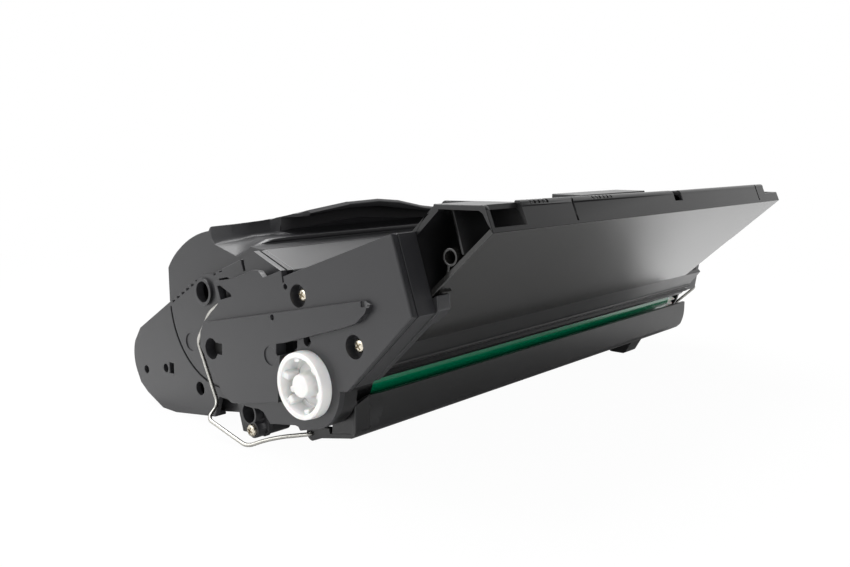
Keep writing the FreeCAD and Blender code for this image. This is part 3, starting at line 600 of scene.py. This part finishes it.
# %% [markdown]
# ## The near cap's own cuts
#
# The near cap carries small moulded forms that the CAD solid leaves out: a groove behind its front edge, a
# notch beside the hinge hole and a nick at the tip of the arm. Its front edge is rounded more than the rest,
# so that edge gets a wide bevel of its own. Cuts are boolean modifiers with flat pieces as tools.


# %% Groove, notch, nick and front edge of the near cap
CAP_TOP, CAP_LOW, CAP_BEVEL = (-73.3, 92.6), (-82.8, 65.4), (-52.2, 35.4)
CAP_SKIN = -151.8
OUTSIDE = -156.0


def beside_line(edge, start, end, reach=0.4):
    """Does an edge of the mesh lie along the line between two (y, z) points?"""
    y0, z0 = start
    y1, z1 = end
    run = math.hypot(y1 - y0, z1 - z0)
    for corner in edge.verts:
        y, z = corner.co.y / MM, corner.co.z / MM
        along = ((y - y0) * (y1 - y0) + (z - z0) * (z1 - z0)) / run
        off = abs((y - y0) * (z1 - z0) - (z - z0) * (y1 - y0)) / run
        if off > reach or not -reach < along < run + reach:
            return False
    return True


def front_edge(edge):
    """Is an edge of the mesh part of the cap's front edge, on its outer face?"""
    outer = max(corner.co.x for corner in edge.verts) < CAP_SKIN * MM
    return edge.is_convex and outer and (
        beside_line(edge, CAP_TOP, CAP_LOW) or beside_line(edge, CAP_LOW, CAP_BEVEL))


def cut_near_cap(shell):
    groove = flat_piece("groove", [(-72.6, 92.9), (-74.5, 93.4), (-84.4, 65.4), (-52.0, 34.0), (-51.9, 35.9),
                                   (-82.1, 65.6)], -149.6, -148.7)
    notch = box_piece("notch", (OUTSIDE, 20.1, 37.1), (-147.0, 24.8, 41.7))
    nick = box_piece("nick", (OUTSIDE, -64.2, 66.9), (-153.2, -61.2, 70.0))
    carve(shell, [groove, notch, nick])
    tidy_flats(shell)
    bevel_edges(shell, front_edge, 0.9 * MM, 4)


print("front edge", round(math.dist(CAP_TOP, CAP_LOW) + math.dist(CAP_LOW, CAP_BEVEL), 1), "mm long")

# %% [markdown]
# ## Slots along the near plate
#
# The plate at the hopper's near end has a comb of slots along its sloping edge. They could be drawn one by
# one, but a slot is a four-cornered cut at right angles to the edge, and a loop repeats it along the edge.
# The opening behind the cap's window is cut here, too, so that the window looks into the dark.


# %% Slots, gap and window of the near plate
PLATE_OUTSIDE = -146.0


def slots_along(shell, start, end, count, pitch, length, depth):
    """Slots in the near plate's edge, from a start towards an end, each cut inwards at right angles."""
    over = -1.5
    slot_end = -137.5
    run = math.dist(start, end)
    uy, uz = (end[0] - start[0]) / run, (end[1] - start[1]) / run
    for k in range(count):
        y, z = start[0] + uy * pitch * k, start[1] + uz * pitch * k
        corners = [(y - uz * side + uy * along, z + uy * side + uz * along)
                   for side, along in ((over, 0.0), (depth, 0.0), (depth, length), (over, length))]
        carve(shell, [flat_piece("slot", corners, PLATE_OUTSIDE, slot_end)])
    print(count, "slots along", round(run, 1), "mm of the plate's edge")


def cut_near_plate(shell):
    slots_along(shell, (71.0, 53.2), (47.1, 67.0), 6, 4.4, 2.4, 1.5)
    slots_along(shell, (38.2, 68.3), (18.9, 75.8), 2, 4.6, 1.8, 1.0)
    gap = flat_piece("gap", [(17.2, 78.0), (19.2, 77.6), (17.0, 71.0), (15.7, 71.6)], PLATE_OUTSIDE, -141.5)
    groove = flat_piece("groove", [(-8.0, 74.6), (9.6, 81.4), (19.9, 77.0), (19.4, 74.8), (9.7, 79.0),
                                   (-6.9, 72.6)], -142.3, -141.4)
    carve(shell, [gap, groove])
    behind_window = [(34.0, 66.4), (28.0, 67.4), (19.0, 63.0), (19.0, 59.6), (32.0, 56.6)]
    carve(shell, [flat_piece("window", behind_window, PLATE_OUTSIDE, -142.0)])


print("the plate is cut from x", PLATE_OUTSIDE, "mm inwards")

# %% [markdown]
# ## Scoop and chamfer
#
# The finger recess under the handle runs out over the hopper's near end like a scoop. Its sections change all
# the way, so the cutting piece is lofted: a face is extruded from station to station, and its corners are
# moved to the next section each time. The top is a thin shell there, so it is first filled and then cut. The
# hood's rear corner, over its open pocket, gets a thin sloping wall first and is then cut off above it.


# %% Scoop in the hopper's top and chamfer of the hood
def scoop_hopper_top(shell):
    """Opens the finger recess towards the near end, as a scoop that runs out over the end wall."""
    filler = flat_piece("filler", [(10.0, 78.6), (20.5, 79.4), (23.8, 81.6), (34.0, 84.2), (48.8, 84.2),
                                   (56.0, 81.8), (56.0, 70.0), (10.0, 70.0)], -138.9, -104.0)
    carve(shell, [filler], "UNION")
    scoop = lofted("scoop", [
        (-140.0, [(14, 95), (14, 84), (17.8, 81.0), (29, 75), (46, 79.4), (48.5, 82), (50, 95)]),
        (-133.0, [(14, 95), (14, 84), (19, 81.6), (27, 79.6), (38, 81.0), (40.5, 83), (41.5, 95)]),
        (-126.0, [(14, 95), (14, 84), (20, 82.4), (27, 82.2), (34, 82.6), (36.5, 84), (37.8, 95)]),
        (-117.0, [(14, 95), (14, 84), (20.5, 83), (27, 83), (32, 83.2), (34, 84.5), (34.6, 95)]),
        (-104.0, [(14, 95), (14, 84), (20.5, 83.2), (20.9, 83.3), (21.2, 83.5), (21.4, 84.5), (21.6, 95)]),
    ])
    carve(shell, [scoop])


def trim_hood(shell):
    """Chamfers the hood's top rear corner, with a thin wall below the chamfer."""
    chamfer_wall = flat_piece("chamfer_wall", [(-82.5, 101.9), (-72.0, 92.0), (-73.3, 90.6), (-83.6, 100.2)],
                              -139.9, -118.1)
    carve(shell, [chamfer_wall], "UNION")
    corner = flat_piece("corner", [(-81.3, 104.0), (-81.3, 101.6), (-71.3, 92.2), (-63.0, 92.2),
                                   (-63.0, 104.0)], -141.0, -118.0)
    carve(shell, [corner])


print("scoop and chamfer ready")

# %% [markdown]
# ## The shells
#
# Each shell is a welded copy of its node. Four of them get the cuts above, and the cuts come before the
# bevels, so that they get rounded, too. Each shell has its own edge width, in millimetres.

# %% Weld, cut, round and hand over each shell
cuts = {"near_end_cap": cut_near_cap, "near_hopper_plate": cut_near_plate, "hopper_top": scoop_hopper_top,
        "hood_cover": trim_hood}
edge_widths = {
    "near_end_cap": 0.24, "far_end_cap": 0.3, "front_panel": 0.3, "hood_cover": 0.3, "drum_frame": 0.25,
    "waste_bin_cover": 0.3, "shutter": 0.4, "hopper_body": 0.4, "hopper_top": 0.4, "near_hopper_plate": 0.3,
    "far_hopper_plate": 0.3,
}
for node, width in edge_widths.items():
    shell = welded(node)
    if node in cuts:
        cuts[node](shell)
        tidy_flats(shell)
    avoided = bevel_that_fits(shell, outer_edge(), width * MM)
    flat_look(shell)
    add_piece(shell, slot_of_node[node], body_of_node[node], node)
    print(shell.name, len(shell.data.polygons), "faces, spots left sharp:", avoided)

# %% [markdown]
# ## The drive coupling
#
# The printer turns the drum by this white moulding. Its rim is a cup with six lugs inside, and a hub with one
# nib that only lets the driver in at one angle. It is turned in one go, from the flange behind the cap
# round the rim, down into the cup and up the hub. Each lug is a box, rounded and then set round the axis at
# its own angle. The rim narrows by 0.3 mm towards its end, where the CAD solid has a step, and the solid has
# three plain lobes for lugs. A dark collar behind the flange hides the bare end of the drum.


# %% Coupling with lugs and hub
def set_round(obj, angle, centre=DRUM):
    """Turns a mesh about the axis by an angle in degrees."""
    middle = Matrix.Translation(Vector((0.0, centre[0] * MM, centre[1] * MM)))
    obj.data.transform(middle @ Matrix.Rotation(math.radians(angle), 4, "X") @ middle.inverted())


def drive_coupling():
    cup = turned("drive_coupling_body", [
        (-142.9, 11.0), (-142.9, 13.0), (-153.5, 13.0), (-156.5, 12.7), (-156.5, 10.7),
        (-149.5, 10.3), (-149.5, 8.7), (-149.1, 8.7), (-149.1, 8.2), (-149.6, 8.2), (-149.8, 6.6),
        (-150.6, 5.3), (-154.6, 4.6), (-156.1, 4.3),
    ], DRUM, 72)
    bevel_edges(cup, outer_edge(), 0.4 * MM, 3)
    parts = []
    y, z = DRUM
    for angle, reach in ((15, 3.0), (75, 2.0), (135, 2.4), (195, 2.4), (255, 2.0), (315, 3.0)):
        lug = box_piece("lug", (-155.4, y + 10.9 - reach, z - 1.5), (-149.2, y + 11.6, z + 1.5))
        bevel_edges(lug, outer_edge(), 0.7 * MM, 3)
        set_round(lug, angle)
        parts.append(lug)
    nib = box_piece("nib", (-155.8, y + 3.0, z - 1.3), (-150.0, y + 6.4, z + 1.3))
    bevel_edges(nib, outer_edge(), 0.8 * MM, 3)
    set_round(nib, -22)
    return joined(cup, parts + [nib])


coupling = drive_coupling()
flat_look(coupling)
add_piece(coupling, "white_plastic", "drum", "drum_coupling")
collar = turned("drum_collar", [(-129.4, 11.6), (-129.6, 12.06), (-142.8, 12.06)], DRUM, 72)
flat_look(collar)
add_piece(collar, "dark_plastic", "drum")
print("coupling", len(coupling.data.polygons), "faces, collar", len(collar.data.polygons))

# %% [markdown]
# ## Screws
#
# Pan-head screws with a cross recess hold the caps. The head is turned with a low dome, and the cross is cut
# by two crossed blades, a little turned, as no two screws stop at the same angle. The ends come from the
# nodes' boxes, so that each new screw is as long as its CAD screw. Their centres are given as (y, z).


# %% Domed cross-head screws
SHANK, HEAD, HEAD_HEIGHT = 1.3, 2.6, 1.7
CROSS_REACH, CROSS_HALF, CROSS_DEPTH = 1.55, 0.36, 1.1


def dome_screw(name, centre, head_end, tail_end, turn):
    out = 1.0 if head_end > tail_end else -1.0
    seat = head_end - out * HEAD_HEIGHT
    profile = [(tail_end, SHANK), (seat, SHANK)]
    for rise, radius in ((0.0, HEAD), (0.7, HEAD), (1.15, 2.4), (1.45, 1.9), (1.62, 1.2), (1.69, 0.5)):
        profile.append((seat + out * rise, radius))
    body = turned(name, profile, centre, 32)
    floor, above = sorted((head_end - out * CROSS_DEPTH, head_end + out))
    for angle in (turn, turn + 90.0):
        blade = box_piece("blade", (floor, centre[0] - CROSS_REACH, centre[1] - CROSS_HALF),
                          (above, centre[0] + CROSS_REACH, centre[1] + CROSS_HALF))
        set_round(blade, angle, centre)
        carve(body, [blade])
    flat_look(body, 40.0)
    return body


def screws_for(node, centres, near):
    low, high = (end[0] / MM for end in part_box(node))
    head_end, tail_end = (low, high) if near else (high, low)
    made = [dome_screw(node + "_" + str(k), centre, head_end, tail_end, 20.0 + 33.0 * k)
            for k, centre in enumerate(centres)]
    whole = joined(made[0], made[1:]) if len(made) > 1 else made[0]
    whole.name = node + "_set"
    add_piece(whole, "screw_steel", "cartridge", node)
    print(whole.name, len(made), "screws", round(high - low, 1), "mm long")


screws_for("near_cap_screws", [(-25.2, 66.4), (-55.1, 51.5)], True)
screws_for("far_cap_screws", [(-25.2, 66.4), (-40.0, 63.0)], False)
screws_for("boss_screw", [(8.1, 6.6)], True)

# %% [markdown]
# ## Shutter wires
#
# Each wire is one length of spring steel, bent round small pins. It is drawn as a chain of straight runs, its
# corners are rounded with a vertex bevel, and the chain then becomes a curve that gets the wire's thickness.
# The bends beside the ends that sit in holes are tighter than the others. The points are in millimetres. The
# near wire has one point more than the CAD wire, so that it bows out and shows beside the cap.


# %% A wire from a chain of points
WIRE_THICKNESS = 1.7
WIDE_BEND, TIGHT_BEND = 2.6, 1.2
SAME_PLACE = 0.01 * MM


def bent_wire(name, points, tight):
    only(None)
    bpy.ops.mesh.primitive_circle_add(vertices=len(points), radius=10.0 * MM, fill_type="NOTHING")
    obj = bpy.context.object
    for corner, point in zip(obj.data.vertices, points):
        corner.co = [value * MM for value in point]
    bpy.ops.object.mode_set(mode="EDIT")
    last = len(points) - 1
    cage = bmesh.from_edit_mesh(obj.data)
    closing = [edge for edge in cage.edges if {v.index for v in edge.verts} == {0, last}]
    bmesh.ops.delete(cage, geom=closing, context="EDGES")
    bmesh.update_edit_mesh(obj.data)
    bpy.ops.mesh.select_mode(type="VERT")
    wide = [k for k in range(1, last) if k not in tight]
    for bends, offset in ((wide, WIDE_BEND), (tight, TIGHT_BEND)):
        bpy.ops.mesh.select_all(action="DESELECT")
        cage = bmesh.from_edit_mesh(obj.data)
        for vertex in cage.verts:
            if any((vertex.co - Vector(points[k]) * MM).length < SAME_PLACE for k in bends):
                vertex.select_set(True)
        bmesh.update_edit_mesh(obj.data)
        bpy.ops.mesh.bevel(offset=offset * MM, segments=5, affect="VERTICES", clamp_overlap=False)
    bpy.ops.object.mode_set(mode="OBJECT")
    bpy.ops.object.convert(target="CURVE")
    wire = bpy.context.object
    wire.data.bevel_depth = WIRE_THICKNESS / 2 * MM
    wire.data.bevel_resolution = 4
    wire.data.use_fill_caps = True
    bpy.ops.object.convert(target="MESH")
    wire = bpy.context.object
    wire.name = name
    bpy.ops.object.mode_set(mode="EDIT")
    bpy.ops.mesh.select_all(action="SELECT")
    bpy.ops.mesh.remove_doubles(threshold=SAME_PLACE)
    bpy.ops.mesh.normals_make_consistent(inside=False)
    bpy.ops.object.mode_set(mode="OBJECT")
    bpy.ops.object.shade_smooth_by_angle(angle=math.radians(50.0))
    return wire


HINGE = (30.5, 56.0)
LUG = (-20.0, 9.6)
near_points = [(-141.0, *HINGE), (-148.0, *HINGE), (-148.0, 37.0, 52.2), (-148.0, 46.9, 38.2),
               (-148.0, 33.6, 12.2), (-154.2, 32.6, 7.4), (-153.3, 7.1, 0.9), (-148.8, 0.2, 4.0),
               (-145.8, -6.6, 6.1), (-143.5, *LUG), (-139.1, *LUG)]
far_points = [(141.0, *HINGE), (155.65, *HINGE), (155.65, -45.5, 36.0), (143.5, *LUG), (139.1, *LUG)]
near_wire = bent_wire("near_wire_rod", near_points, (1, 9))
add_piece(near_wire, "steel", "near_wire", "near_shutter_wire")
far_wire = bent_wire("far_wire_rod", far_points, (1, 3))
add_piece(far_wire, "steel", "far_wire", "far_shutter_wire")
print("wires", [len(w.data.polygons) for w in (near_wire, far_wire)], "faces")

# %% [markdown]
# ## Small moulded forms round the drum's near end
#
# The near cap turns inwards along the arc below the coupling, and the shutter closes its own near end with a
# wall that follows the drum. Without them daylight would show between cap and shutter. A block behind the
# cap's front corner fills it. All are flat pieces along X, with outlines that follow their neighbours. The
# cap's skirt takes the darker satin black instead of the cap's charcoal, as painted shade.

# %% Cap skirt
skirt_outline = round_about(DRUM, 17.2, range(182, 262, 8)) + round_about(DRUM, 16.0, range(260, 180, -8))
skirt = flat_piece("near_cap_skirt", skirt_outline, -150.0, -143.0)
flat_look(skirt)
# Painted shade: the skirt belongs to the cap, but it gets the darker satin black for the shadow it lies in
# under the coupling.
add_piece(skirt, "dark_plastic", "cartridge")
print("skirt", len(skirt.data.polygons), "faces")

# %% Corner block with its strip
corner_outline = [(-83.4, 71.6), (-83.9, 66.2), (-82.6, 64.2), (-78.0, 60.4), (-74.5, 64.2), (-76.5, 68.0)]
corner_block = flat_piece("near_cap_corner", corner_outline, -140.2, -133.4)
strip = flat_piece("strip", [(-80.6, 63.2), (-80.0, 62.0), (-53.6, 36.6), (-52.6, 37.6)], -140.2, -137.2)
bevel_edges(corner_block, outer_edge(), 0.5 * MM, 3)
bevel_edges(strip, outer_edge(), 0.25 * MM)
corner_block = joined(corner_block, [strip])
flat_look(corner_block)
add_piece(corner_block, "cap_plastic", "cartridge")
print("corner block", len(corner_block.data.polygons), "faces")

# %% Shutter's end wall
wall_outline = [(-44.6, 27.6), (-44.6, 15.8), (-43.9, 13.8), (-42.0, 12.6), (-31.5, 11.2)]
end_wall = flat_piece("shutter_end_wall", wall_outline + round_about(DRUM, 13.6, range(260, 200, -12)),
                      -141.9, -140.5)
bevel_edges(end_wall, outer_edge(), 0.25 * MM)
flat_look(end_wall)
add_piece(end_wall, "dark_plastic", "shutter")
print("end wall", len(end_wall.data.polygons), "faces")

# %% [markdown]
# ## Nodes that keep their own mesh
#
# Rollers, shafts, gears, blades and bearings are plain turned or punched parts, mostly out of sight, so their
# own mesh is right and they only need a finish. It goes into the slot that the node brings with it. The two
# pins that hold the units together are blackened, so that they don't shine in their holes.

# %% Finishes for the other nodes
for node, obj in nodes.items():
    if node not in edge_widths:
        for held in obj.material_slots:
            held.material = finishes["black_oxide" if node == "unit_pins" else slot_of_node[node]]
print(len(nodes) - len(edge_widths), "nodes keep their own mesh")

# %% [markdown]
# ## Table, backdrop and light
#
# The photograph has a white ground and no horizon, and yet the front of the cartridge is nearly black. Both
# come from one studio: a white table and backdrop, lit from above and behind, with a dark room behind the
# camera. So rays from the camera find white everywhere. Mirror rays find the table with the shade that the
# cartridge lays on it, white far away, and the dark room towards the front.


# %% Rays that see the studio
FRONT = (0.10, -0.99, 0.0)


def ray_kinds(tree):
    """Two numbers: 1 for camera rays, and 1 for rays from a mirror or through glass."""
    rays = tree.node("ShaderNodeLightPath", {}, {})
    either = tree.node("ShaderNodeMath", {"operation": "MAXIMUM"}, {
        0: rays["Is Glossy Ray"], 1: rays["Is Transmission Ray"]})
    return rays["Is Camera Ray"], either["Value"]


def rising(tree, value, start, end):
    """0 below the start and 1 beyond the end, with a soft step between."""
    return tree.node("ShaderNodeMapRange", {"interpolation_type": "SMOOTHSTEP"}, {
        "Value": value, "From Min": start, "From Max": end})["Result"]


def towards_front(tree, direction):
    return tree.node("ShaderNodeVectorMath", {"operation": "DOT_PRODUCT"}, {0: direction, 1: FRONT})["Value"]


print("the room is dark towards", FRONT)


# %% White table
def white_floor():
    bpy.ops.mesh.primitive_plane_add(size=8.0, location=(0.0, 0.0, -0.0002))
    floor = bpy.context.object
    floor.name = "floor"
    paint = Finish("white_floor", Specular_IOR_Level=0.2)
    paint.colour_between(paint.noise(3.0), (0.86, 0.86, 0.86), (0.88, 0.88, 0.88))
    paint.set("Roughness", 0.6)
    camera_ray, mirror_ray = ray_kinds(paint)
    reach = paint.node("ShaderNodeVectorMath", {"operation": "LENGTH"}, {0: paint.place})["Value"]
    direction = paint.node("ShaderNodeVectorMath", {"operation": "NORMALIZE"}, {0: paint.place})["Vector"]
    far = rising(paint, reach, 0.18, 0.75)
    dark = rising(paint, towards_front(paint, direction), 0.30, 0.75)
    share = camera_ray * (0.97 + 0.03 * far) + mirror_ray * (0.06 + 0.94 * far) * (1.0 - 0.85 * dark)
    glow = paint.node("ShaderNodeEmission", {}, {"Strength": 1.0})
    painted = Value(paint, paint.shader.outputs["BSDF"])
    mixed = paint.node("ShaderNodeMixShader", {}, {"Fac": share, 1: painted, 2: glow["Emission"]})
    paint.plug(mixed[0], paint.nodes["Material Output"].inputs["Surface"])
    floor.data.materials.append(paint.material)
    return floor


only(None)
floor = white_floor()
print("floor", [round(side, 1) for side in floor.dimensions], "m")

# %% [markdown]
# ## The world around the table
#
# The world is a room seen by its direction alone: white above, behind and to the sides, and dark towards the
# front. The same map, dimmer, is the fill light. For the camera it is plain white.


# %% White backdrop and dark room
def studio_world():
    world = bpy.data.worlds.new("studio")
    bpy.context.scene.world = world
    world.use_nodes = True
    room = Tree(world.node_tree)
    camera_ray, mirror_ray = ray_kinds(room)
    direction = room.node("ShaderNodeTexCoord", {}, {})["Generated"]
    dark = rising(room, towards_front(room, direction), 0.42, 0.68)
    lit = 1.0 - 0.93 * dark
    strength = camera_ray + (1.0 - camera_ray) * lit * (0.55 + 0.45 * mirror_ray)
    sky = room.nodes["Background"]
    room.plug((1.0, 1.0, 1.0, 1.0), sky.inputs["Color"])
    room.plug(strength, sky.inputs["Strength"])
    return world


print("world", studio_world().name)

# %% [markdown]
# ## Lamps
#
# Three panels make the soft light of a studio. A large one hangs overhead and a little behind, and a second
# one lights the caps from the left. The third is weak and stands in front. It lifts the white coupling and
# the green drum, and since polished plastic must go on mirroring a dark room, mirrors don't see it.


# %% Soft lamps
def panel_light(name, location, target, size, power):
    data = bpy.data.lights.new(name, "AREA")
    data.shape = "RECTANGLE"
    data.size = size[0]
    data.size_y = size[1]
    data.energy = power
    lamp = bpy.data.objects.new(name, data)
    bpy.context.scene.collection.objects.link(lamp)
    lamp.location = location
    lamp.rotation_euler = (Vector(target) - Vector(location)).to_track_quat("-Z", "Y").to_euler()
    return lamp


panel_light("overhead", (0.0, 0.35, 0.9), (0.0, 0.0, 0.0), (1.0, 0.6), 12.5)
panel_light("left_side", (-0.95, 0.35, 0.45), (-0.1, 0.0, 0.05), (0.7, 0.6), 3.0)
front_lamp = panel_light("front", (-0.55, -0.95, 0.35), (-0.1, 0.0, 0.05), (0.6, 0.6), 5.0)
front_lamp.visible_glossy = False

# %% [markdown]
# ## Picture settings and the end
#
# Colours are shown as they are, without a film look.

# %% Picture settings and the end
bpy.context.scene.view_settings.view_transform = "Standard"
